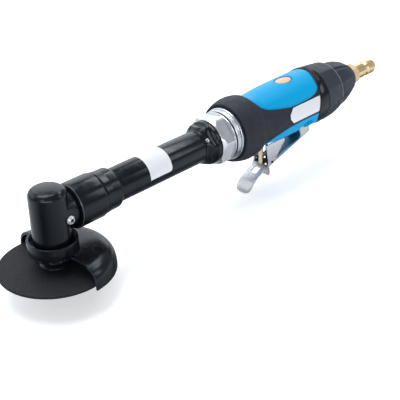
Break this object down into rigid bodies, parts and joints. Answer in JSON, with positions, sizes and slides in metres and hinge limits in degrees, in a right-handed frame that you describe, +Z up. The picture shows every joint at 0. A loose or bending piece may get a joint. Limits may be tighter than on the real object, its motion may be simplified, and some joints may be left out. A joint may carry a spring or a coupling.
{
  "type": "extended air cut-off tool",
  "caption": "Air-driven cut-off tool with a right-angle disc head on a long tube, rear half guard, rubber-covered handle, throttle lever with safety latch, and brass air inlet.",
  "frame": {"origin": "centre of the object's box in plan, at its lowest point (the lever's front tip)", "axes": "+X along the tool from the disc head to the air inlet, +Z up away from the disc, parallel to the disc spindle"},
  "size_m": [0.372, 0.079, 0.0797],
  "materials": {
    "black_paint": "gloss black enamel on cast and turned metal",
    "steel": "ground and turned steel",
    "dark_steel": "blackened steel, satin",
    "chrome": "bright plated steel",
    "blue_plastic": "satin cyan blue moulded composite",
    "rubber": "soft charcoal over-moulded rubber",
    "band": "smooth glossy black moulding",
    "charcoal_plastic": "satin slate grey moulding",
    "label": "plain white film label",
    "badge": "plain domed oval plate",
    "brass": "turned brass",
    "pale_brass": "pale drawn rod",
    "abrasive": "resin bonded abrasive, grainy",
    "vane": "phenolic laminate",
    "felt": "porous silencer pad"
  },
  "bodies": {
    "housing": {"spindle_bearing_lower": "steel", "spindle_bearing_upper": "steel", "bearing_retainer": "dark_steel", "head_housing": "black_paint", "grease_nipple": "chrome", "head_sleeve": "black_paint", "lock_ring": "black_paint", "extension_tube": "black_paint", "tube_label": "label", "pinion_bearing": "steel", "tube_bearing_front": "steel", "tube_bearing_rear": "steel", "rear_adapter": "black_paint", "adapter_pin": "chrome", "clamp_nut": "chrome", "retaining_ring": "chrome", "bezel_ring": "chrome", "motor_housing": "dark_steel", "front_end_plate": "steel", "rotor_bearing_front": "steel", "cylinder_liner": "steel", "rear_end_plate": "steel", "rotor_bearing_rear": "steel", "handle_shell": "blue_plastic", "rubber_grip": "rubber", "badge_plate": "badge", "side_label": "label", "rear_band": "band", "silencer": "felt", "rear_cap": "charcoal_plastic", "inlet_bushing": "steel", "air_plug": "brass", "valve_bushing": "brass", "valve_spring": "steel", "lever_pin": "steel"},
    "spindle_set": {"spindle": "steel", "bevel_gear": "steel", "inner_flange": "dark_steel", "outer_flange": "dark_steel", "disc_screw": "dark_steel", "cutting_disc": "abrasive"},
    "motor": {"rotor": "steel", "vane_1": "vane", "vane_2": "vane", "vane_3": "vane", "vane_4": "vane", "shaft_coupling": "dark_steel", "drive_shaft": "steel", "bevel_pinion": "steel"},
    "guard": {"guard_shell": "black_paint", "guard_collar": "black_paint", "guard_clamp_screw": "dark_steel"},
    "lever": {"throttle_lever": "chrome", "latch_pin": "steel", "latch_spring": "steel"},
    "latch": {"safety_latch": "dark_steel"},
    "valve": {"valve_stem": "pale_brass"},
    "deflector": {"exhaust_deflector": "charcoal_plastic"}
  },
  "joints": [
    {"name": "motor_spin", "type": "hinge", "parent": "housing", "child": "motor", "pos_m": [-0.14855, 0, 0.05572], "axis": [1, 0, 0], "continuous": true},
    {"name": "spindle_spin", "type": "hinge", "parent": "housing", "child": "spindle_set", "pos_m": [-0.14855, 0, 0.05572], "axis": [0, 0, 1], "continuous": true},
    {"name": "guard_turn", "type": "hinge", "parent": "housing", "child": "guard", "pos_m": [-0.14855, 0, 0.05572], "axis": [0, 0, 1], "continuous": true},
    {"name": "exhaust_turn", "type": "hinge", "parent": "housing", "child": "deflector", "pos_m": [0.12145, 0, 0.05572], "axis": [1, 0, 0], "continuous": true},
    {"name": "throttle_lever_pivot", "type": "hinge", "parent": "housing", "child": "lever", "pos_m": [0.09165, 0, 0.03732], "axis": [0, 1, 0], "range_deg": [0, 5.5], "stiffness_Nm_per_rad": 2, "springref_deg": -22.92},
    {"name": "safety_latch_pivot", "type": "hinge", "parent": "lever", "child": "latch", "pos_m": [0.05285, 0, 0.01912], "axis": [0, 1, 0], "range_deg": [0, 31], "stiffness_Nm_per_rad": 0.01, "springref_deg": -28.65},
    {"name": "valve_stem_slide", "type": "slide", "parent": "housing", "child": "valve", "axis": [0, 0, 1], "range_m": [0, 0.0049], "stiffness_N_per_m": 40, "springref_m": -0.003, "deforming": ["valve_spring"]}
  ],
  "couplings": [
    {"joint": "spindle_spin", "follows": "motor_spin", "ratio": 0.66667},
    {"joint": "safety_latch_pivot", "follows": "throttle_lever_pivot", "ratio": 5.5},
    {"joint": "valve_stem_slide", "follows": "throttle_lever_pivot", "m_per_rad": 0.05}
  ]
}
